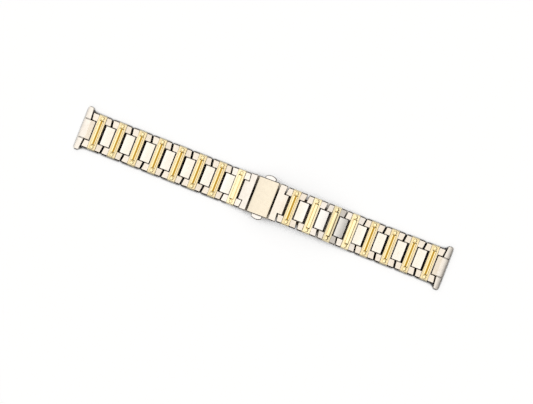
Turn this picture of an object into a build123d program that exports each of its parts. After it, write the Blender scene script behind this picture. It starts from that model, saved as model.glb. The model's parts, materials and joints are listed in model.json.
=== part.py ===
from build123d import *

import os
from math import cos, sin, sqrt

# Link bracelet for a 20 mm watch: two chains of H-shaped outer links and centre links,
# a flared end piece at each outer end, and a single-fold clasp under a plain cover.
# The band lies flat on a table with its fold clasp closed, so it arches over the clasp blades.
# X runs along the band, Z points up, and the origin is on the table under the middle.

# Band
links_per_side = 8
band_width = 16.4
link_thickness = 2.8
pin_height = 1.3
pin_radius = 0.4
pin_seat = 0.01
pin_running_fit = 0.04
cut_overrun = 1.0
plate_gap = 0.15

# Outer link, measured from the middle of its gold bar, front towards the clasp
lobe_width = 3.6
cross_front = 2.05
cross_back = 1.8
lobe_front_outer = 4.07
lobe_front_inner = 4.52
lobe_back_outer = 4.71
lobe_back_inner = 4.22
front_pin_reach = 3.5
back_pin_reach = 3.1
crown_drop = 0.16
end_chamfer = 0.3

# Gold bar with its rib
bar_width = 3.5
bar_height = 0.9
bar_channel_depth = 0.6
bar_seat_gap = 0.02
rib_width = 2.0
rib_height = 0.35
rib_end_margin = 2.8

# Centre link
centre_length = 4.4
centre_side_gap = 0.2
centre_pin_spacing = 2.9
centre_crown = 0.08

# End piece, measured from its link pin, back towards the watch
lug_width = 20.0
end_outer_reach = 4.52
end_tongue_reach = 0.83
wing_reach_outer = 2.4
wing_reach_inner = 2.9
wing_corner_radius = 0.6
lug_bore_radius = 0.8
lug_bore_reach = 1.5
lug_bore_height = 1.35
end_edge_height = 1.9
end_crown_reach = 3.4
groove_width = 0.16
groove_depth = 0.2

# Clasp link, measured from its blade pin
clasp_step = 0.2
clasp_face_reach = 1.4
clasp_shoulder_outer = 1.8
clasp_shoulder_inner = 1.4
clasp_tongue_reach = 3.65
clasp_face_chamfer = 0.6
lug_pocket_reach = 1.5
lug_pocket_skin = 0.5
clasp_pin_radius = 0.45
clasp_pin_proud = 0.3

# Blades of the fold clasp
blade_inner_radius = 50.0
blade_width = 12.0
blade_thickness = 1.0
link_lift = 0.2
knuckle_radius = 1.1
knuckle_width = 6.0
knuckle_clearance = 0.1
hinge_pin_radius = 0.5
hinge_reach = 35.5
crown_reach = 14.0
barrel_radius = 0.9
barrel_width = 6.0
web_thickness = 1.2
tail_length = 2.0

# Cover
cover_length = 9.6
cover_wall = 0.7
cover_top = 0.7
cover_skirt = 1.7
cover_left_gap = 0.8
cover_right_gap = 0.6
cover_left_bevel = 0.9
cover_left_fall = 0.22
cover_right_bevel = 0.55
cover_right_fall = 0.25
window_clearance = 0.05

# Push buttons and the hooks that they catch
button_length = 5.2
button_height = 2.0
button_bulge = 1.9
button_shoulder = 1.1
button_corner_radius = 0.8
button_travel = 0.6
flange_overlap = 0.5
flange_thickness = 0.7
yoke_arm = 0.7
yoke_thickness = 0.8
hook_length = 2.2
hook_thickness = 0.8
hook_edge_margin = 1.3
hook_overhang = 0.7
hook_head = 0.55
hook_clearance = 0.3
claw_thickness = 1.05
claw_spare = 0.075
catch_gap = 0.1
rib_thickness = 1.0
spring_thickness = 0.15
spring_play = 0.03

# Band rest line
table_lift = 0.1
blend_radius = 28.0
solver_steps = 60

half_band = band_width / 2
clasp_width = band_width + 2 * clasp_step
hook_place = blade_width / 2 - hook_edge_margin
pocket_half = half_band - lobe_width
outer_pin_spacing = front_pin_reach + back_pin_reach
upper_blade_base = blade_thickness + plate_gap
upper_blade_top = upper_blade_base + blade_thickness
pin_level = upper_blade_top + link_lift + pin_height
link_top_level = pin_level - pin_height + link_thickness
pin_line_radius = blade_inner_radius + pin_level
hinge_level = blade_thickness + plate_gap / 2
hinge_radius = blade_inner_radius + hinge_level

cover_angle = -crown_reach / pin_line_radius
hinge_angle = (hinge_reach - crown_reach) / pin_line_radius
left_pin_reach = cover_length / 2 + cover_left_gap + clasp_face_reach
right_pin_reach = cover_length / 2 + cover_right_gap + clasp_face_reach
left_pin_angle = cover_angle - left_pin_reach / pin_line_radius
right_pin_angle = cover_angle + right_pin_reach / pin_line_radius
tail_angle = left_pin_angle - tail_length / pin_line_radius

# Blade centre below the table: the hinge knuckle touches the table
knuckle_low = hinge_radius * cos(hinge_angle) - knuckle_radius
tail_low = blade_inner_radius * cos(tail_angle)
blade_centre_z = -min(knuckle_low, tail_low)

# Rest line of the pins: over the blades, through a hollow curve, along the table
floor_pin_z = pin_height + table_lift
hollow_centre_z = floor_pin_z + blend_radius
hollow_centre_x = sqrt(
    (pin_line_radius + blend_radius) ** 2 - (hollow_centre_z - blade_centre_z) ** 2
)
hump_end_x = hollow_centre_x * pin_line_radius / (pin_line_radius + blend_radius)


def pin_line_height(x):
    if x <= hump_end_x:
        return blade_centre_z + sqrt(pin_line_radius**2 - x**2)
    if x <= hollow_centre_x:
        return hollow_centre_z - sqrt(blend_radius**2 - (hollow_centre_x - x) ** 2)
    return floor_pin_z


def next_pin(start, spacing):
    # The next point of the rest line, one pin spacing further from the clasp
    low = start[0]
    high = start[0] + spacing
    for _ in range(solver_steps):
        middle = (low + high) / 2
        height = pin_line_height(abs(middle))
        gap = sqrt((middle - start[0]) ** 2 + (height - start[1]) ** 2)
        if gap < spacing:
            low = middle
        else:
            high = middle
    return middle, pin_line_height(abs(middle))


def chain_pins(angle):
    # Pins from the blade to the end piece, with x counted outwards from the blades' crown
    pins = [(pin_line_radius * sin(angle), blade_centre_z + pin_line_radius * cos(angle))]
    pins.append(next_pin(pins[-1], centre_pin_spacing))
    for _ in range(links_per_side):
        pins.append(next_pin(pins[-1], outer_pin_spacing))
        pins.append(next_pin(pins[-1], centre_pin_spacing))
    return pins[:-1]


left_chain = chain_pins(-left_pin_angle)
right_chain = chain_pins(right_pin_angle)
crown_x = (left_chain[-1][0] - right_chain[-1][0]) / 2
left_pins = [Vector(crown_x - x, 0, z) for x, z in left_chain]
right_pins = [Vector(crown_x + x, 0, z) for x, z in right_chain]


def radial_plane(angle, level):
    # A plane on the blades with X along them, away from the left end, and Z outwards
    outward = Vector(sin(angle), 0, cos(angle))
    centre = Vector(crown_x, 0, blade_centre_z)
    return Plane(
        origin=centre + outward * (blade_inner_radius + level),
        x_dir=(cos(angle), 0, -sin(angle)),
        z_dir=outward,
    )


def piece_plane(inner, outer, inner_x):
    # The frame of a piece hung on two pins: X towards the clasp, origin on its underside
    along = (inner - outer).normalized()
    up = along.cross(Vector(0, 1, 0))
    if up.Z < 0:
        up = -up
    return Plane(origin=inner - along * inner_x - up * pin_height, x_dir=along, z_dir=up)


def save(solid, place, name):
    placed = solid.moved(place.location)
    placed.label = name
    export_step(placed, f"parts/{name}.step")


os.makedirs("parts", exist_ok=True)

side_view = Plane.XZ

# Outer link, one solid with the pins pressed across its two pockets
with BuildPart() as outer_link:
    with BuildSketch(side_view):
        with BuildLine():
            Polyline(
                (-lobe_back_outer, 0),
                (lobe_front_inner, 0),
                (lobe_front_inner, link_thickness - crown_drop),
                (bar_width / 2, link_thickness),
                (-bar_width / 2, link_thickness),
                (-lobe_back_outer, link_thickness - crown_drop),
                close=True,
            )
        make_face()
    extrude(amount=half_band, both=True)
    with BuildSketch():
        with BuildLine():
            Polyline(
                (-cross_back, 0),
                (-cross_back, pocket_half),
                (-lobe_back_inner, pocket_half),
                (-lobe_back_outer, half_band),
                (lobe_front_outer, half_band),
                (lobe_front_inner, pocket_half),
                (cross_front, pocket_half),
                (cross_front, 0),
                close=True,
            )
        make_face()
        mirror(about=Plane.XZ)
    extrude(amount=link_thickness, mode=Mode.INTERSECT)
    underside = outer_link.faces().sort_by(Axis.Z)[0]
    ends = [edge for edge in underside.edges() if abs(edge.center().X) > lobe_front_outer]
    chamfer(ends, end_chamfer)
    with Locations((0, 0, link_thickness)):
        Box(
            bar_width + 2 * bar_seat_gap,
            band_width,
            2 * bar_channel_depth,
            mode=Mode.SUBTRACT,
        )
    with BuildSketch(side_view):
        with Locations((-back_pin_reach, pin_height), (front_pin_reach, pin_height)):
            Circle(pin_radius)
    extrude(amount=pocket_half, both=True)

# Gold bar with its raised rib, which stops short of the rivets at its ends
with BuildPart() as gold_bar:
    Box(bar_width, band_width, bar_height, align=(Align.CENTER, Align.CENTER, Align.MIN))
    with BuildSketch(side_view):
        with BuildLine():
            ThreePointArc(
                (-rib_width / 2, bar_height),
                (0, bar_height + rib_height),
                (rib_width / 2, bar_height),
            )
            Line((rib_width / 2, bar_height), (-rib_width / 2, bar_height))
        make_face()
    extrude(amount=half_band - rib_end_margin, both=True)

# Centre link
centre_width = 2 * (pocket_half - centre_side_gap)
with BuildPart() as centre_link:
    with BuildSketch(side_view):
        with BuildLine():
            Polyline(
                (-centre_length / 2, link_thickness - centre_crown),
                (-centre_length / 2, end_chamfer),
                (-centre_length / 2 + end_chamfer, 0),
                (centre_length / 2 - end_chamfer, 0),
                (centre_length / 2, end_chamfer),
                (centre_length / 2, link_thickness - centre_crown),
            )
            ThreePointArc(
                (centre_length / 2, link_thickness - centre_crown),
                (0, link_thickness),
                (-centre_length / 2, link_thickness - centre_crown),
            )
        make_face()
        with Locations(
            (-centre_pin_spacing / 2, pin_height), (centre_pin_spacing / 2, pin_height)
        ):
            Circle(pin_radius + pin_running_fit, mode=Mode.SUBTRACT)
    extrude(amount=centre_width / 2, both=True)

# Flared end piece: a tongue for the last link and wings as wide as the watch's lugs
with BuildPart() as end_piece:
    with BuildSketch(side_view):
        with BuildLine():
            Polyline(
                (-end_outer_reach, end_edge_height),
                (-end_outer_reach, 0),
                (end_tongue_reach - end_chamfer, 0),
                (end_tongue_reach, end_chamfer),
                (end_tongue_reach, link_thickness),
                (end_crown_reach - end_outer_reach, link_thickness),
            )
            TangentArc(
                (end_crown_reach - end_outer_reach, link_thickness),
                (-end_outer_reach, end_edge_height),
                tangent=(-1, 0),
            )
        make_face()
        with Locations((0, pin_height)):
            Circle(pin_radius + pin_running_fit, mode=Mode.SUBTRACT)
        with Locations((lug_bore_reach - end_outer_reach, lug_bore_height)):
            Circle(lug_bore_radius, mode=Mode.SUBTRACT)
    extrude(amount=lug_width / 2, both=True)
    with BuildSketch() as end_plan:
        with BuildLine():
            Polyline(
                (-end_outer_reach, 0),
                (-end_outer_reach, lug_width / 2),
                (wing_reach_outer - end_outer_reach, lug_width / 2),
                (wing_reach_inner - end_outer_reach, centre_width / 2),
                (end_tongue_reach, centre_width / 2),
                (end_tongue_reach, 0),
                close=True,
            )
        make_face()
        wing_corners = end_plan.vertices().filter_by_position(Axis.Y, half_band, lug_width / 2)
        fillet(wing_corners, wing_corner_radius)
        mirror(about=Plane.XZ)
    extrude(amount=link_thickness, mode=Mode.INTERSECT)
    for side in (-1, 1):
        with BuildSketch(side_view.offset(-side * centre_width / 2)):
            with BuildLine():
                Polyline(
                    (-end_outer_reach, end_edge_height - groove_depth),
                    (-end_outer_reach, link_thickness + cut_overrun),
                    (wing_reach_inner - end_outer_reach, link_thickness + cut_overrun),
                    (wing_reach_inner - end_outer_reach, link_thickness - groove_depth),
                )
                TangentArc(
                    (wing_reach_inner - end_outer_reach, link_thickness - groove_depth),
                    (-end_outer_reach, end_edge_height - groove_depth),
                    tangent=(-1, 0),
                )
            make_face()
        extrude(amount=groove_width / 2, both=True, mode=Mode.SUBTRACT)

# Clasp link: pinned to a blade, with a tongue for the first outer link
with BuildPart() as clasp_link:
    with BuildSketch(side_view):
        with BuildLine():
            Polyline(
                (-clasp_tongue_reach, link_thickness - centre_crown),
                (-clasp_tongue_reach, end_chamfer),
                (end_chamfer - clasp_tongue_reach, 0),
                (clasp_face_reach - clasp_face_chamfer, 0),
                (clasp_face_reach, clasp_face_chamfer),
                (clasp_face_reach, link_thickness),
                (-clasp_shoulder_outer, link_thickness),
                close=True,
            )
        make_face()
        with Locations((-centre_pin_spacing, pin_height)):
            Circle(pin_radius + pin_running_fit, mode=Mode.SUBTRACT)
        with Locations((0, pin_height)):
            Circle(clasp_pin_radius + pin_seat, mode=Mode.SUBTRACT)
    extrude(amount=clasp_width / 2, both=True)
    with BuildSketch():
        with BuildLine():
            Polyline(
                (clasp_face_reach, 0),
                (clasp_face_reach, clasp_width / 2),
                (-clasp_shoulder_outer, clasp_width / 2),
                (-clasp_shoulder_inner, centre_width / 2),
                (-clasp_tongue_reach, centre_width / 2),
                (-clasp_tongue_reach, 0),
                close=True,
            )
        make_face()
        mirror(about=Plane.XZ)
    extrude(amount=link_thickness, mode=Mode.INTERSECT)
    pocket_side = barrel_width / 2 + knuckle_clearance
    with BuildSketch():
        with Locations((clasp_face_reach, 0)):
            Rectangle(2 * (clasp_face_reach + lug_pocket_reach), 2 * pocket_side)
    extrude(amount=link_thickness - lug_pocket_skin, mode=Mode.SUBTRACT)

# Clasp pin, whose ends stand a little proud of the band's sides
with BuildPart() as clasp_pin:
    with BuildSketch(side_view):
        with Locations((0, pin_height)):
            Circle(clasp_pin_radius)
    extrude(amount=clasp_width / 2 + clasp_pin_proud, both=True)

cover_place = radial_plane(cover_angle, 0)
hinge_place = radial_plane(hinge_angle, hinge_level)
left_barrel_place = radial_plane(left_pin_angle, pin_level)
right_barrel_place = radial_plane(right_pin_angle, pin_level)


def blade_band(start_angle, end_angle, level):
    # The curved strip of a blade, seen from the side, between two angles
    middle_angle = (start_angle + end_angle) / 2
    corners = []
    for angle, rise in (
        (start_angle, level),
        (middle_angle, level),
        (end_angle, level),
        (end_angle, level + blade_thickness),
        (middle_angle, level + blade_thickness),
        (start_angle, level + blade_thickness),
    ):
        point = radial_plane(angle, rise).origin
        corners.append((point.X, point.Z))
    ThreePointArc(corners[0], corners[1], corners[2])
    Line(corners[2], corners[3])
    ThreePointArc(corners[3], corners[4], corners[5])
    Line(corners[5], corners[0])


def round_bar(place, radius, width=blade_width, shifts=(0,), mode=Mode.ADD):
    # Round bars along Y about the origin of a plane on the blades
    for shift in shifts:
        with Locations(Plane(origin=place.origin + Vector(0, shift, 0), z_dir=(0, 1, 0))):
            Cylinder(radius, width, mode=mode)


# Lower blade: floor of the clasp, with two hook posts, a barrel and a middle knuckle
with BuildPart() as lower_blade:
    with BuildSketch(side_view):
        with BuildLine():
            blade_band(tail_angle, hinge_angle, 0)
        make_face()
    extrude(amount=blade_width / 2, both=True)
    side_knuckle_width = (blade_width - knuckle_width) / 2
    side_knuckle_place = (knuckle_width + side_knuckle_width) / 2
    round_bar(
        hinge_place,
        knuckle_radius + knuckle_clearance,
        mode=Mode.SUBTRACT,
        width=side_knuckle_width + cut_overrun,
        shifts=(
            -side_knuckle_place - cut_overrun / 2,
            side_knuckle_place + cut_overrun / 2,
        ),
    )
    round_bar(hinge_place, knuckle_radius, width=knuckle_width - 2 * knuckle_clearance)
    round_bar(hinge_place, hinge_pin_radius + pin_seat, mode=Mode.SUBTRACT)
    with BuildSketch(left_barrel_place):
        Rectangle(web_thickness, barrel_width)
    extrude(amount=-(pin_level - blade_thickness / 2))
    round_bar(left_barrel_place, barrel_radius, width=barrel_width)
    round_bar(left_barrel_place, clasp_pin_radius + pin_running_fit, mode=Mode.SUBTRACT)
    for side in (-1, 1):
        post_level = upper_blade_top + hook_clearance + yoke_thickness + catch_gap
        with BuildSketch(cover_place.offset(blade_thickness / 2)):
            with Locations((0, side * hook_place)):
                Rectangle(hook_length, hook_thickness)
        extrude(amount=post_level + hook_head - blade_thickness / 2)
        with BuildSketch(cover_place.offset(post_level)):
            with Locations((0, side * (hook_place - hook_overhang / 2))):
                Rectangle(hook_length, hook_thickness + hook_overhang)
        extrude(amount=hook_head)

# Upper blade: carries the cover and folds on the lower blade
upper_start = cover_angle - (cover_length / 2 - cover_wall) / pin_line_radius
hook_edge = hook_place - hook_thickness / 2 - hook_overhang
with BuildPart() as upper_blade:
    with BuildSketch(side_view):
        with BuildLine():
            blade_band(upper_start, hinge_angle, upper_blade_base)
        make_face()
    extrude(amount=blade_width / 2, both=True)
    round_bar(
        hinge_place,
        knuckle_radius,
        width=side_knuckle_width,
        shifts=(-side_knuckle_place, side_knuckle_place),
    )
    round_bar(
        hinge_place,
        knuckle_radius + knuckle_clearance,
        mode=Mode.SUBTRACT,
        width=knuckle_width,
    )
    round_bar(hinge_place, hinge_pin_radius + pin_running_fit, mode=Mode.SUBTRACT)
    with BuildSketch(right_barrel_place):
        Rectangle(web_thickness, barrel_width)
    extrude(amount=-(pin_level - upper_blade_base - blade_thickness / 2))
    round_bar(right_barrel_place, barrel_radius, width=barrel_width)
    round_bar(right_barrel_place, clasp_pin_radius + pin_running_fit, mode=Mode.SUBTRACT)
    slot_inner = hook_edge - hook_clearance
    slot_outer = hook_place + hook_thickness / 2 + hook_clearance
    with BuildSketch(cover_place):
        for side in (-1, 1):
            with Locations((0, side * (slot_inner + slot_outer) / 2)):
                Rectangle(hook_length + 2 * hook_clearance, slot_outer - slot_inner)
    extrude(amount=pin_level, mode=Mode.SUBTRACT)
    with BuildSketch(cover_place.offset(upper_blade_base + blade_thickness / 2)):
        Rectangle(hook_length, rib_thickness)
    extrude(amount=blade_thickness / 2 + hook_clearance + yoke_thickness)

# Fold hinge pin
with BuildPart() as fold_hinge_pin:
    round_bar(hinge_place, hinge_pin_radius)

# Cover: a plain box over the end of the upper blade, open underneath
with BuildPart() as cover:
    with BuildSketch(cover_place.offset(cover_skirt)):
        Rectangle(cover_length, clasp_width)
    extrude(amount=link_top_level - cover_skirt)
    upwards = Axis(cover_place.origin, cover_place.z_dir)
    for end, bevel, fall in (
        (0, cover_left_bevel, cover_left_fall),
        (-1, cover_right_bevel, cover_right_fall),
    ):
        top_face = cover.faces().sort_by(upwards)[-1]
        end_edge = top_face.edges().filter_by(Axis.Y).sort_by(Axis.X)[end]
        chamfer(end_edge, bevel, fall, reference=top_face)
    inner_width = clasp_width - 2 * cover_wall
    with BuildSketch(cover_place.offset(cover_skirt)):
        Rectangle(cover_length - 2 * cover_wall, inner_width)
    extrude(amount=link_top_level - cover_top - cover_skirt, mode=Mode.SUBTRACT)
    with Locations(Plane(origin=(crown_x, 0, blade_centre_z), z_dir=(0, 1, 0))):
        Cylinder(
            blade_inner_radius + upper_blade_top + pin_seat,
            blade_width + 2 * knuckle_clearance,
            mode=Mode.SUBTRACT,
        )
    yoke_level = upper_blade_top + hook_clearance
    button_level = yoke_level + yoke_thickness / 2
    window_place = Plane(
        origin=cover_place.offset(button_level).origin,
        x_dir=cover_place.x_dir,
        z_dir=(0, 1, 0),
    )
    with BuildSketch(window_place):
        Rectangle(button_length + 2 * window_clearance, button_height + 2 * window_clearance)
    extrude(amount=clasp_width, both=True, mode=Mode.SUBTRACT)

# Push button: a rounded pad, a flange behind the cover's wall and a yoke round the hook post
flange_face = inner_width / 2 - window_clearance
claw_face = hook_edge + button_travel - claw_spare
claw_back = claw_face - claw_thickness
yoke_half = hook_length / 2 + hook_clearance
shoulder_face = clasp_width / 2 + button_shoulder
with BuildPart() as push_button:
    with BuildSketch(Plane.XY.offset(button_level - button_height / 2)) as button_plan:
        with BuildLine():
            Line((-button_length / 2, flange_face), (button_length / 2, flange_face))
            Line((button_length / 2, flange_face), (button_length / 2, shoulder_face))
            ThreePointArc(
                (button_length / 2, shoulder_face),
                (0, clasp_width / 2 + button_bulge),
                (-button_length / 2, shoulder_face),
            )
            Line((-button_length / 2, shoulder_face), (-button_length / 2, flange_face))
        make_face()
        shoulders = button_plan.vertices().filter_by_position(
            Axis.Y, clasp_width / 2, shoulder_face + button_corner_radius
        )
        fillet(shoulders, button_corner_radius)
    extrude(amount=button_height)
    with BuildSketch(Plane.XY.offset(yoke_level)):
        with Locations((0, flange_face - flange_thickness / 2)):
            Rectangle(button_length + 2 * flange_overlap, flange_thickness)
        with BuildLine():
            Polyline(
                (-yoke_half - yoke_arm, flange_face - flange_thickness),
                (-yoke_half - yoke_arm, claw_back),
                (yoke_half + yoke_arm, claw_back),
                (yoke_half + yoke_arm, flange_face - flange_thickness),
                close=True,
            )
        make_face()
        with Locations((0, (claw_face + flange_face - flange_thickness) / 2)):
            Rectangle(
                2 * yoke_half, flange_face - flange_thickness - claw_face, mode=Mode.SUBTRACT
            )
    extrude(amount=yoke_thickness)

# Bowed leaf spring between the button's yoke and the blade's middle rib
spring_front = claw_back - spring_play
spring_back = rib_thickness / 2 + spring_play
with BuildPart() as button_spring:
    with BuildSketch(Plane.XY.offset(yoke_level)):
        with BuildLine():
            ThreePointArc(
                (-hook_length, spring_front),
                (0, spring_back),
                (hook_length, spring_front),
            )
            Line((hook_length, spring_front), (hook_length - spring_thickness, spring_front))
            ThreePointArc(
                (hook_length - spring_thickness, spring_front),
                (0, spring_back + spring_thickness),
                (spring_thickness - hook_length, spring_front),
            )
            Line((spring_thickness - hook_length, spring_front), (-hook_length, spring_front))
        make_face()
    extrude(amount=yoke_thickness)

# Everything in its place
table = Plane.XY
for solid, name in (
    (lower_blade.part, "lower_blade"),
    (upper_blade.part, "upper_blade"),
    (fold_hinge_pin.part, "fold_hinge_pin"),
    (cover.part, "clasp_cover"),
):
    save(solid, table, name)
turned_place = Plane(
    origin=cover_place.origin, x_dir=-cover_place.x_dir, z_dir=cover_place.z_dir
)
for place, side in ((cover_place, "rear"), (turned_place, "front")):
    save(push_button.part, place, f"{side}_push_button")
    save(button_spring.part, place, f"{side}_button_spring")

bar_place = Location((0, 0, link_thickness - bar_channel_depth))
bar_on_link = gold_bar.part.moved(bar_place)
for pins, side in ((left_pins, "left"), (right_pins, "right")):
    clasp_place = piece_plane(pins[0], pins[1], 0)
    save(clasp_link.part, clasp_place, f"{side}_clasp_link")
    save(clasp_pin.part, clasp_place, f"{side}_clasp_pin")
    for step in range(links_per_side):
        number = links_per_side - step
        inner = pins[1 + 2 * step]
        outer = pins[2 + 2 * step]
        link_place = piece_plane(inner, outer, front_pin_reach)
        save(outer_link.part, link_place, f"{side}_outer_link_{number}")
        save(bar_on_link, link_place, f"{side}_gold_bar_{number}")
        if step + 1 < links_per_side:
            centre_place = piece_plane(outer, pins[3 + 2 * step], centre_pin_spacing / 2)
            save(centre_link.part, centre_place, f"{side}_centre_link_{number - 1}")
    level = Vector(1, 0, 0) if side == "left" else Vector(-1, 0, 0)
    save(end_piece.part, piece_plane(pins[-1], pins[-1] - level, 0), f"{side}_end_piece")
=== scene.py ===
import json
from math import cos, pi, radians, sin

import bmesh
import bpy
from mathutils import Matrix, Vector

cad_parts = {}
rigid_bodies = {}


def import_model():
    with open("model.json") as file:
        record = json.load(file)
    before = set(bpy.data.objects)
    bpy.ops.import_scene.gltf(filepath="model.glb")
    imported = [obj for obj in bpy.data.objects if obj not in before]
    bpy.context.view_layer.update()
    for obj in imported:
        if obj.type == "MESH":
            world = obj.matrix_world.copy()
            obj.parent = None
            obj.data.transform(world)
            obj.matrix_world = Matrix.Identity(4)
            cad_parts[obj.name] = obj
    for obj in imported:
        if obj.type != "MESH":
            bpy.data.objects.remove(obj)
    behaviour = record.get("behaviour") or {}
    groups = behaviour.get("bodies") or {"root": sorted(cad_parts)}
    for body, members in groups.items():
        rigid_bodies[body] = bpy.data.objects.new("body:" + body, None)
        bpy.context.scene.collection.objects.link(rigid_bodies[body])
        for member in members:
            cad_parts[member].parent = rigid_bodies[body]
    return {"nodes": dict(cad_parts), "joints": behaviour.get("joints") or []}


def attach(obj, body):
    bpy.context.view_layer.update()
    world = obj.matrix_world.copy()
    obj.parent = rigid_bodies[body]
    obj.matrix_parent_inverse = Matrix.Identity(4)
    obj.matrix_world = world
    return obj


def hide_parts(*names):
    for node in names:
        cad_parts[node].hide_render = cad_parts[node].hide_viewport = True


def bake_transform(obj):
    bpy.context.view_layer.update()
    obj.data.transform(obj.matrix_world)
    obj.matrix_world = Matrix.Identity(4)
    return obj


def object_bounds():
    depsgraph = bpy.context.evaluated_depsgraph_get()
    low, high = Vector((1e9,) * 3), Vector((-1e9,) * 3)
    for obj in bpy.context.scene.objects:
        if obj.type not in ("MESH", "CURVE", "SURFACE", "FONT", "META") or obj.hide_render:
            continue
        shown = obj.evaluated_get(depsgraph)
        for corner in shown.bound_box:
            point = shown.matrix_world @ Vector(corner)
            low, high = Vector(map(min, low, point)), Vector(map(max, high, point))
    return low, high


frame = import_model()
cad_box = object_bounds()

nodes = frame["nodes"]
joints = {joint["child"]: joint for joint in frame["joints"]}
MM = 0.001

# Photograph: where the band's middle lies, how the band is turned, and the scale
IMAGE_WIDTH, IMAGE_HEIGHT = 533, 404
BAND_MIDDLE_PX = (263.30, 197.69)
BAND_TURN = radians(21.36)
PX_PER_MM = 2.264

# Camera: almost straight down with a long lens
CAMERA_DISTANCE = 1.2
CAMERA_LEAN = radians(3.0)
CAMERA_REACH = (0.01, 10.0)
AIM_HEIGHT = 3 * MM
SENSOR_WIDTH = 36.0

# Light: strength over degrees from its axis, and the amber gap that level faces mirror to the camera
LIGHT_AXIS = (-0.20, 0.0, 1.0)
LIGHT_COLOUR = (1.0, 0.985, 0.965, 1.0)
DOME_LEVELS = ((0, 1.3), (40, 1.27), (50, 1.12), (60, 0.62), (68, 0.016), (180, 0.008))
GAP_COLOUR = (0.42, 0.28, 0.04, 1.0)
GAP_SHADE = ((0, 0.0), (8, 0.0), (10.5, 1.0), (180, 1.0))

# Table: white where it is open to the sky, with painted shade under the band and a painted contact
# shadow where the band touches it
TABLE_HALF = 2.0
TABLE_COLOUR = (0.25, 0.25, 0.25, 1.0)
TABLE_SHADOW = (0.01, 0.01, 0.01, 1.0)
TABLE_ROUGHNESS = 0.9
TABLE_GLOW = 0.785
TABLE_SAMPLES = 12
SHADE_REACH, SHADE_RANGE = 12 * MM, (0.45, 0.55)
TOUCH_SHADE_REACH, TOUCH_SHADE_RANGE = 1.2 * MM, (0.50, 0.80)

# Gold bar, in the frame of its link: origin under the bar's middle, X towards the clasp
PIN_HEIGHT = 1.3 * MM
FRONT_PIN_REACH = 3.5 * MM
CHANNEL_FLOOR = 2.2 * MM
BAR_WIDTH = 3.5 * MM
BAR_LENGTH = 16.4 * MM
BAR_HEIGHT = 0.9 * MM
BAR_EDGE = 0.10 * MM
BAR_EDGE_STEPS = 3
RIB_WIDTH = 2.0 * MM
RIB_HEIGHT = 0.35 * MM
RIB_HALF_LENGTH = 5.95 * MM
RIB_END_SLOPE = 0.5 * MM
RIB_FULLNESS = 3.0
RIB_SINK = 0.05 * MM
RIVET_PLACE = 6.75 * MM
RIVET_RADIUS = 0.84 * MM
RIVET_HEIGHT = 0.46 * MM
RIVET_SINK = 0.02 * MM
SATIN_SLOT, BRIGHT_SLOT = 0, 1

# Width of the polished chamfers, and the material slot of their dark metal that paints shade on them
EDGE_SLOT = 1
SIDE_CHAMFER = 0.48 * MM
CLASP_CHAMFER = 0.34 * MM
END_CHAMFER = 0.2 * MM
BUTTON_CHAMFER = 0.3 * MM
BLADE_CHAMFER = 0.15 * MM
PIN_CHAMFER = 0.08 * MM

# Edges that get a chamfer: how bent, how long and how far out, and in full along the band's sides
SHARP_ANGLE = radians(32)
SHORT_EDGE = 0.2 * MM
TINY_EDGE = SHORT_EDGE / 10
SIDE_PLACE = 8.15 * MM
END_PLACE = 85.9 * MM
NO_PLACE_LIMIT = 1.0
UPRIGHT_SHARE = 0.7
INNER_SHARE = 0.30

# Mesh clean-up before the chamfers, and the bend from which shading breaks
WELD_REACH = 0.0005 * MM
FLAT_ANGLE = radians(0.5)
CRISP_ANGLE = radians(14)

# Brushing and cloudy colour of the metals, and painted shade in their hollows
LENGTHWISE = (1500.0, 26000.0, 26000.0)
CROSSWISE = (26000.0, 1500.0, 26000.0)
EVEN = (9000.0, 9000.0, 9000.0)
CLOUDY = (600.0, 600.0, 600.0)
FINE_DETAIL, CLOUD_DETAIL = 3.0, 2.0
NOISE_ROUGHNESS = 0.6
NOISE_RANGE = (0.3, 0.7)
DULLER, BRIGHTER = 0.06, 0.05
BUMP_DEPTH = 0.01 * MM
HOLLOW_SHADE_COLOUR = (0.015, 0.013, 0.012, 1.0)
HOLLOW_SHADE_REACH, HOLLOW_SHADE_RANGE = 4 * MM, (0.25, 0.60)
HOLLOW_SHADE_SAMPLES = 6


def new_material(name):
    material = bpy.data.materials.new(name)
    material.use_nodes = True
    tree = material.node_tree
    shader = tree.nodes["Principled BSDF"]
    return material, tree, shader


def add_node(tree, kind, **settings):
    node = tree.nodes.new(kind)
    for key, value in settings.items():
        setattr(node, key, value)
    return node


def calculate(tree, operation, first, second=None):
    node = add_node(tree, "ShaderNodeMath", operation=operation)
    for socket, value in zip(node.inputs, (first, second)):
        if isinstance(value, bpy.types.NodeSocket):
            tree.links.new(value, socket)
        elif value is not None:
            socket.default_value = value
    return node.outputs[0]


def mix_colours(tree, share, first, second):
    # Colours that are sockets are linked, and plain ones are set
    node = add_node(tree, "ShaderNodeMix", data_type="RGBA")
    tree.links.new(share, node.inputs[0])
    for socket, colour in zip(node.inputs[6:8], (first, second)):
        if isinstance(colour, bpy.types.NodeSocket):
            tree.links.new(colour, socket)
        else:
            socket.default_value = colour
    return node.outputs[2]


def openness(tree, reach, limits, samples):
    # 0 where a surface is closely covered within reach, 1 where it lies open
    nook = add_node(tree, "ShaderNodeAmbientOcclusion", samples=samples)
    nook.inputs["Distance"].default_value = reach
    opened = add_node(tree, "ShaderNodeMapRange", interpolation_type="SMOOTHSTEP")
    opened.inputs["From Min"].default_value = limits[0]
    opened.inputs["From Max"].default_value = limits[1]
    tree.links.new(nook.outputs["AO"], opened.inputs["Value"])
    return opened.outputs["Result"]


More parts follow.
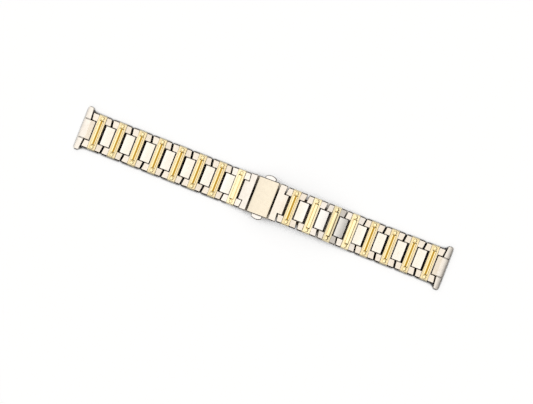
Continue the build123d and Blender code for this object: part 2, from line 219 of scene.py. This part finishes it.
def streaks(tree, scale, detail):
    # Noise drawn out along the brushing direction, in the piece's own coordinates
    place = add_node(tree, "ShaderNodeTexCoord")
    mapping = add_node(tree, "ShaderNodeMapping")
    mapping.inputs["Scale"].default_value = scale
    noise = add_node(tree, "ShaderNodeTexNoise")
    noise.inputs["Scale"].default_value = 1.0
    noise.inputs["Detail"].default_value = detail
    noise.inputs["Roughness"].default_value = NOISE_ROUGHNESS
    tree.links.new(place.outputs["Object"], mapping.inputs["Vector"])
    tree.links.new(mapping.outputs["Vector"], noise.inputs["Vector"])
    return noise


def spread(tree, source, low, high):
    # A noise value stretched between two limits
    change = add_node(tree, "ShaderNodeMapRange")
    change.inputs["From Min"].default_value = NOISE_RANGE[0]
    change.inputs["From Max"].default_value = NOISE_RANGE[1]
    change.inputs["To Min"].default_value = low
    change.inputs["To Max"].default_value = high
    tree.links.new(source, change.inputs["Value"])
    return change.outputs["Result"]


def metal(name, pale, deep, roughness, brush, bump, shade_hollows=False):
    """Brushed or polished metal: fine streaks, slow cloudy colour, a fine bump, and painted shade in
    hollows if asked.
    """
    material, tree, shader = new_material(name)
    shader.inputs["Metallic"].default_value = 1.0
    fine = streaks(tree, brush, FINE_DETAIL)
    slow = streaks(tree, CLOUDY, CLOUD_DETAIL)
    clouds = spread(tree, slow.outputs["Fac"], 0.0, 1.0)
    colour = mix_colours(tree, clouds, (*pale, 1.0), (*deep, 1.0))
    if shade_hollows:
        # Painted shade: darker where a part is closely covered by others
        opened = openness(tree, HOLLOW_SHADE_REACH, HOLLOW_SHADE_RANGE, HOLLOW_SHADE_SAMPLES)
        colour = mix_colours(tree, opened, HOLLOW_SHADE_COLOUR, colour)
    tree.links.new(colour, shader.inputs["Base Color"])
    gloss = spread(tree, fine.outputs["Fac"], roughness - BRIGHTER, roughness + DULLER)
    tree.links.new(gloss, shader.inputs["Roughness"])
    relief = add_node(tree, "ShaderNodeBump")
    relief.inputs["Strength"].default_value = bump
    relief.inputs["Distance"].default_value = BUMP_DEPTH
    tree.links.new(fine.outputs["Fac"], relief.inputs["Height"])
    tree.links.new(relief.outputs["Normal"], shader.inputs["Normal"])
    return material


steel_link = metal(
    "satin_steel_links", (0.92, 0.865, 0.79), (0.86, 0.80, 0.725), 0.38, LENGTHWISE, 0.05
)
steel_centre = metal(
    "satin_steel_centres", (1.0, 0.975, 0.93), (0.96, 0.935, 0.89), 0.38, LENGTHWISE, 0.05
)
steel_end = metal(
    "satin_steel_ends", (0.89, 0.835, 0.76), (0.82, 0.765, 0.695), 0.36, CROSSWISE, 0.05
)
steel_cover = metal(
    "satin_steel_cover", (0.87, 0.785, 0.635), (0.82, 0.74, 0.60), 0.38, CROSSWISE, 0.1
)
# Painted shade: the chamfers' metal is nearly black, standing in for the dark room that they would
# mirror
shaded_edge_steel = metal(
    "polished_edges_painted_dark", (0.10, 0.09, 0.08), (0.08, 0.072, 0.064), 0.08, EVEN, 0.02
)
# Blades and pins get painted shade where they are closely covered by other parts
steel_blade = metal(
    "polished_steel_blades", (0.78, 0.765, 0.75), (0.71, 0.695, 0.68), 0.16, LENGTHWISE, 0.12,
    shade_hollows=True,
)
steel_button = metal(
    "polished_steel_buttons", (0.83, 0.795, 0.755), (0.77, 0.735, 0.70), 0.16, EVEN, 0.03
)
steel_pin = metal(
    "turned_steel_pins", (0.70, 0.685, 0.67), (0.62, 0.605, 0.59), 0.28, CROSSWISE, 0.2,
    shade_hollows=True,
)
steel_spring = metal(
    "blue_steel_springs", (0.50, 0.515, 0.56), (0.43, 0.445, 0.49), 0.25, LENGTHWISE, 0.15
)
gold_satin = metal(
    "satin_gold_flats", (1.0, 0.88, 0.585), (0.96, 0.83, 0.53), 0.34, CROSSWISE, 0.06
)
gold_bright = metal(
    "polished_gold_rib", (1.0, 0.87, 0.54), (1.0, 0.83, 0.48), 0.08, CROSSWISE, 0.01
)


def node_group(name):
    group = bpy.data.node_groups.new(name, "GeometryNodeTree")
    group.interface.new_socket("Geometry", in_out="INPUT", socket_type="NodeSocketGeometry")
    group.interface.new_socket("Geometry", in_out="OUTPUT", socket_type="NodeSocketGeometry")
    return group, add_node(group, "NodeGroupInput"), add_node(group, "NodeGroupOutput")


def compare(group, value, limit, operation="GREATER_THAN"):
    test = add_node(group, "FunctionNodeCompare", data_type="FLOAT", operation=operation)
    test.inputs[1].default_value = limit
    group.links.new(value, test.inputs[0])
    return test.outputs[0]


def both(group, first, second):
    test = add_node(group, "FunctionNodeBooleanMath", operation="AND")
    group.links.new(first, test.inputs[0])
    group.links.new(second, test.inputs[1])
    return test.outputs[0]


def between(group, operation, first, second):
    node = add_node(group, "ShaderNodeVectorMath", operation=operation)
    group.links.new(first, node.inputs[0])
    group.links.new(second, node.inputs[1])
    return node


def components(group, vector):
    split = add_node(group, "ShaderNodeSeparateXYZ")
    group.links.new(vector, split.inputs[0])
    return split.outputs


def chamfer_marks(name, short_edge, inner_share, place_limit=NO_PLACE_LIMIT):
    """Marks sharp outward edges for the bevel: in full along the band's sides, in part elsewhere."""
    group, start, end = node_group(name)
    angle = add_node(group, "GeometryNodeInputMeshEdgeAngle")
    bent = compare(group, angle.outputs["Signed Angle"], SHARP_ANGLE)
    ends = add_node(group, "GeometryNodeInputMeshEdgeVertices")
    first, second = ends.outputs["Position 1"], ends.outputs["Position 2"]
    length = between(group, "DISTANCE", first, second).outputs["Value"]
    place = components(group, add_node(group, "GeometryNodeInputPosition").outputs[0])
    along = calculate(group, "ABSOLUTE", place["X"])
    aside = calculate(group, "ABSOLUTE", place["Y"])
    step = components(group, between(group, "SUBTRACT", first, second).outputs["Vector"])
    slope = calculate(group, "DIVIDE", calculate(group, "ABSOLUTE", step["Z"]), length)
    chosen = both(group, bent, compare(group, length, short_edge))
    chosen = both(group, chosen, compare(group, along, place_limit, "LESS_THAN"))
    lying = compare(group, slope, UPRIGHT_SHARE, "LESS_THAN")
    share = add_node(group, "GeometryNodeSwitch", input_type="FLOAT")
    group.links.new(both(group, compare(group, aside, SIDE_PLACE), lying), share.inputs["Switch"])
    share.inputs["False"].default_value = inner_share
    share.inputs["True"].default_value = 1.0
    store = add_node(group, "GeometryNodeStoreNamedAttribute", data_type="FLOAT", domain="EDGE")
    store.inputs["Name"].default_value = "bevel_weight_edge"
    weight = calculate(group, "MULTIPLY", chosen, share.outputs["Output"])
    group.links.new(start.outputs[0], store.inputs["Geometry"])
    group.links.new(weight, store.inputs["Value"])
    group.links.new(store.outputs["Geometry"], end.inputs[0])
    return group


def crisp_shading():
    """Smooth curved faces, with every bend over a set angle kept crisp."""
    group, start, end = node_group("crisp_shading")
    faces = add_node(group, "GeometryNodeSetShadeSmooth", domain="FACE")
    faces.inputs["Shade Smooth"].default_value = True
    group.links.new(start.outputs[0], faces.inputs["Geometry"])
    angle = add_node(group, "GeometryNodeInputMeshEdgeAngle")
    sharp = compare(group, angle.outputs["Unsigned Angle"], CRISP_ANGLE)
    edges = add_node(group, "GeometryNodeSetShadeSmooth", domain="EDGE")
    group.links.new(sharp, edges.inputs["Selection"])
    edges.inputs["Shade Smooth"].default_value = False
    group.links.new(faces.outputs["Geometry"], edges.inputs["Geometry"])
    group.links.new(edges.outputs["Geometry"], end.inputs[0])
    return group


coarse_marks = chamfer_marks("long_edges", SHORT_EDGE, INNER_SHARE)
fine_marks = chamfer_marks("all_edges", TINY_EDGE, 1.0)
rim_marks = chamfer_marks("rim_edges", TINY_EDGE, 0.0)
end_marks = chamfer_marks("end_edges", TINY_EDGE, 1.0, END_PLACE)
crisp = crisp_shading()


def dress(piece, material, width, marks, clamp):
    # A material and polished chamfers in a dark metal that paints shade on them, with the split
    # flats of a button joined first
    piece.data.materials.clear()
    piece.data.materials.append(material)
    piece.data.materials.append(shaded_edge_steel)
    weld = piece.modifiers.new("weld", "WELD")
    weld.merge_threshold = WELD_REACH
    if marks == rim_marks:
        flat = piece.modifiers.new("flat", "DECIMATE")
        flat.decimate_type = "DISSOLVE"
        flat.angle_limit = FLAT_ANGLE
    piece.modifiers.new("marks", "NODES").node_group = marks
    edge = piece.modifiers.new("edge", "BEVEL")
    edge.width = width
    edge.segments = 1
    edge.limit_method = "WEIGHT"
    edge.material = EDGE_SLOT
    edge.use_clamp_overlap = clamp
    edge.loop_slide = False
    piece.modifiers.new("shading", "NODES").node_group = crisp


# Word in the name, material, chamfer width, edges to chamfer, and whether the chamfers are clamped
FINISHES = (
    ("outer_link", steel_link, SIDE_CHAMFER, coarse_marks, False),
    ("centre_link", steel_centre, SIDE_CHAMFER, coarse_marks, False),
    ("end_piece", steel_end, END_CHAMFER, end_marks, False),
    ("clasp_link", steel_link, CLASP_CHAMFER, coarse_marks, False),
    ("clasp_cover", steel_cover, CLASP_CHAMFER, coarse_marks, False),
    ("push_button", steel_button, BUTTON_CHAMFER, rim_marks, False),
    ("blade", steel_blade, BLADE_CHAMFER, coarse_marks, False),
    ("pin", steel_pin, PIN_CHAMFER, fine_marks, True),
)
for name, piece in nodes.items():
    for word, material, width, marks, clamp in FINISHES:
        if word in name:
            dress(piece, material, width, marks, clamp)
            break


def link_place(name):
    # The frame of an outer link, found from its two pins
    inner = Vector(joints[name]["pos_m"])
    outer = next(Vector(j["pos_m"]) for j in frame["joints"] if j["parent"] == name)
    along = (inner - outer).normalized()
    up = along.cross(Vector((0, 1, 0)))
    if up.z < 0:
        up = -up
    across = up.cross(along)
    turn = Matrix((along, across, up)).transposed().to_4x4()
    return Matrix.Translation(inner - along * FRONT_PIN_REACH - up * PIN_HEIGHT) @ turn


def add_prism(mesh, outline, half_length, slot, drop, run):
    # A closed prism along Y over an outline in X and Z, with the upper edges of its ends cut off
    top = max(z for x, z in outline)
    rings = [
        [mesh.verts.new((x, y, min(z, limit))) for x, z in outline]
        for y, limit in (
            (-half_length, top - drop),
            (run - half_length, top),
            (half_length - run, top),
            (half_length, top - drop),
        )
    ]
    count = len(outline)
    faces = []
    for near, far in zip(rings, rings[1:]):
        for k in range(count):
            n = (k + 1) % count
            faces.append(mesh.faces.new((near[k], near[n], far[n], far[k])))
    faces.append(mesh.faces.new(rings[0][::-1]))
    faces.append(mesh.faces.new(rings[-1]))
    for face in faces:
        face.material_index = slot
        face.smooth = True


def add_dome(mesh, centre, radius, height, slot, rings=7, steps=36):
    # A low dome on a flat: a rivet head
    rows = []
    for ring in range(rings):
        tilt = pi / 2 * ring / rings
        rows.append([
            mesh.verts.new((
                centre[0] + radius * cos(tilt) * cos(2 * pi * k / steps),
                centre[1] + radius * cos(tilt) * sin(2 * pi * k / steps),
                centre[2] + height * sin(tilt),
            ))
            for k in range(steps)
        ])
    top = mesh.verts.new((centre[0], centre[1], centre[2] + height))
    faces = []
    for low, high in zip(rows, rows[1:]):
        for k in range(steps):
            n = (k + 1) % steps
            faces.append(mesh.faces.new((low[k], low[n], high[n], high[k])))
    for k in range(steps):
        faces.append(mesh.faces.new((rows[-1][k], rows[-1][(k + 1) % steps], top)))
    faces.append(mesh.faces.new(rows[0][::-1]))
    for face in faces:
        face.material_index = slot
        face.smooth = True


def bar_outline():
    # Plate with small rounded upper edges
    half = BAR_WIDTH / 2
    middle_x = half - BAR_EDGE
    middle_z = BAR_HEIGHT - BAR_EDGE
    turns = [pi / 2 * k / BAR_EDGE_STEPS for k in range(BAR_EDGE_STEPS + 1)]
    points = [(-half, 0), (half, 0)]
    points += [(middle_x + BAR_EDGE * cos(a), middle_z + BAR_EDGE * sin(a)) for a in turns]
    points += [(-middle_x - BAR_EDGE * sin(a), middle_z + BAR_EDGE * cos(a)) for a in turns]
    return points


def rib_outline(steps=28):
    # Convex rib on the plate, flatter on top than a round one, with its foot sunk in the plate
    half = RIB_WIDTH / 2
    foot = BAR_HEIGHT - RIB_SINK
    points = [(-half, foot), (half, foot)]
    for k in range(steps + 1):
        x = half * cos(pi * k / steps)
        rise = (1 - abs(x / half) ** RIB_FULLNESS) ** (1 / RIB_FULLNESS)
        points.append((x, BAR_HEIGHT + RIB_HEIGHT * rise))
    return points


def gold_bar_mesh():
    mesh = bmesh.new()
    add_prism(mesh, bar_outline(), BAR_LENGTH / 2, SATIN_SLOT, SIDE_CHAMFER, SIDE_CHAMFER)
    add_prism(mesh, rib_outline(), RIB_HALF_LENGTH, BRIGHT_SLOT, RIB_HEIGHT, RIB_END_SLOPE)
    for side in (-1, 1):
        foot = (0, side * RIVET_PLACE, BAR_HEIGHT - RIVET_SINK)
        add_dome(mesh, foot, RIVET_RADIUS, RIVET_HEIGHT, BRIGHT_SLOT)
    bmesh.ops.translate(mesh, verts=mesh.verts, vec=(0, 0, CHANNEL_FLOOR))
    bmesh.ops.recalc_face_normals(mesh, faces=mesh.faces)
    data = bpy.data.meshes.new("gold_bar")
    mesh.to_mesh(data)
    mesh.free()
    data.materials.append(gold_satin)
    data.materials.append(gold_bright)
    return data


def add_gold_bars():
    for name in nodes:
        if "gold_bar" not in name:
            continue
        body = name.replace("gold_bar", "outer_link")
        data = gold_bar_mesh()
        data.transform(link_place(body))
        piece = bpy.data.objects.new("ribbed_" + name, data)
        bpy.context.scene.collection.objects.link(piece)
        piece.modifiers.new("shading", "NODES").node_group = crisp
        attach(piece, body)
        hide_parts(name)


def add_button_springs():
    # Leaf springs, copied from the model with their doubled points welded, in blue steel
    for name, node in nodes.items():
        if "button_spring" not in name:
            continue
        mesh = bmesh.new()
        mesh.from_mesh(node.data)
        mesh.transform(node.matrix_world)
        bmesh.ops.remove_doubles(mesh, verts=mesh.verts, dist=WELD_REACH)
        data = bpy.data.meshes.new("leaf_spring")
        mesh.to_mesh(data)
        mesh.free()
        data.materials.append(steel_spring)
        piece = bpy.data.objects.new("bowed_" + name, data)
        bpy.context.scene.collection.objects.link(piece)
        piece.modifiers.new("shading", "NODES").node_group = crisp
        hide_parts(name)
        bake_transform(piece)


add_gold_bars()
add_button_springs()


def add_floor():
    half = TABLE_HALF
    corners = [(-half, -half, 0), (half, -half, 0), (half, half, 0), (-half, half, 0)]
    data = bpy.data.meshes.new("floor")
    data.from_pydata(corners, [], [(0, 1, 2, 3)])
    floor = bpy.data.objects.new("floor", data)
    floor.location.z = cad_box[0].z
    bpy.context.scene.collection.objects.link(floor)
    material, tree, shader = new_material("white_table")
    shader.inputs["Roughness"].default_value = TABLE_ROUGHNESS
    shader.inputs["Specular IOR Level"].default_value = 0.0
    # Painted shade and contact shadow: the table's colour and glow are darkened where the band
    # covers it or touches it
    shade = openness(tree, SHADE_REACH, SHADE_RANGE, TABLE_SAMPLES)
    touch_shade = openness(tree, TOUCH_SHADE_REACH, TOUCH_SHADE_RANGE, TABLE_SAMPLES)
    light = calculate(tree, "MULTIPLY", shade, touch_shade)
    tint = mix_colours(tree, light, TABLE_SHADOW, TABLE_COLOUR)
    tree.links.new(tint, shader.inputs["Base Color"])
    rays = add_node(tree, "ShaderNodeLightPath").outputs
    seen = calculate(tree, "MAXIMUM", rays["Is Camera Ray"], rays["Is Glossy Ray"])
    seen = calculate(tree, "MAXIMUM", seen, rays["Is Transmission Ray"])
    glow = calculate(tree, "MULTIPLY", calculate(tree, "MULTIPLY", seen, light), TABLE_GLOW)
    shader.inputs["Emission Color"].default_value = (1, 1, 1, 1)
    tree.links.new(glow, shader.inputs["Emission Strength"])
    data.materials.append(material)


def angle_from(tree, direction, axis):
    # Angle in radians between a view direction and an axis
    along = add_node(tree, "ShaderNodeVectorMath", operation="DOT_PRODUCT")
    along.inputs[1].default_value = Vector(axis).normalized()
    tree.links.new(direction, along.inputs[0])
    return calculate(tree, "ARCCOSINE", along.outputs["Value"])


def ramp(tree, source, stops):
    # Piecewise change of brightness with an angle, given in degrees
    widest = stops[-1][0]
    share = add_node(tree, "ShaderNodeMath", operation="DIVIDE", use_clamp=True)
    share.inputs[1].default_value = radians(widest)
    tree.links.new(source, share.inputs[0])
    curve = add_node(tree, "ShaderNodeFloatCurve")
    top = max(level for _, level in stops)
    points = curve.mapping.curves[0].points
    while len(points) < len(stops):
        points.new(0.5, 0.5)
    for point, (angle, level) in zip(points, stops):
        point.location = (angle / widest, level / top)
        point.handle_type = "VECTOR"
    curve.mapping.update()
    tree.links.new(share.outputs[0], curve.inputs["Value"])
    return calculate(tree, "MULTIPLY", curve.outputs[0], top)


def add_world():
    """A wide soft light overhead, with a round gap for the camera, in a dark room."""
    world = bpy.data.worlds.new("studio")
    world.use_nodes = True
    tree = world.node_tree
    back = tree.nodes["Background"]
    look = add_node(tree, "ShaderNodeTexCoord").outputs["Generated"]
    gap_axis = (0, sin(CAMERA_LEAN), cos(CAMERA_LEAN))
    dome = ramp(tree, angle_from(tree, look, LIGHT_AXIS), DOME_LEVELS)
    shade = ramp(tree, angle_from(tree, look, gap_axis), GAP_SHADE)
    tree.links.new(mix_colours(tree, shade, GAP_COLOUR, LIGHT_COLOUR), back.inputs["Color"])
    tree.links.new(dome, back.inputs["Strength"])
    bpy.context.scene.world = world


def add_camera():
    data = bpy.data.cameras.new("camera")
    data.sensor_width = SENSOR_WIDTH
    data.lens = SENSOR_WIDTH * CAMERA_DISTANCE / (IMAGE_WIDTH / PX_PER_MM * MM)
    camera = bpy.data.objects.new("camera", data)
    bpy.context.scene.collection.objects.link(camera)
    right = Vector((cos(BAND_TURN), sin(BAND_TURN), 0))
    away = Vector((-sin(BAND_TURN), cos(BAND_TURN), 0))
    shift_right = (IMAGE_WIDTH / 2 - BAND_MIDDLE_PX[0]) / PX_PER_MM * MM
    shift_away = (BAND_MIDDLE_PX[1] - IMAGE_HEIGHT / 2) / PX_PER_MM * MM
    aim = Vector((0, 0, AIM_HEIGHT)) + right * shift_right + away * shift_away
    back = Vector((0, 0, cos(CAMERA_LEAN))) - away * sin(CAMERA_LEAN)
    up = away * cos(CAMERA_LEAN) + Vector((0, 0, sin(CAMERA_LEAN)))
    turn = Matrix((right, up, back)).transposed().to_4x4()
    camera.matrix_world = Matrix.Translation(aim + back * CAMERA_DISTANCE) @ turn
    data.clip_start, data.clip_end = CAMERA_REACH
    bpy.context.scene.camera = camera


add_floor()
add_world()
add_camera()
bpy.context.scene.view_settings.view_transform = "Standard"

bpy.context.view_layer.update()
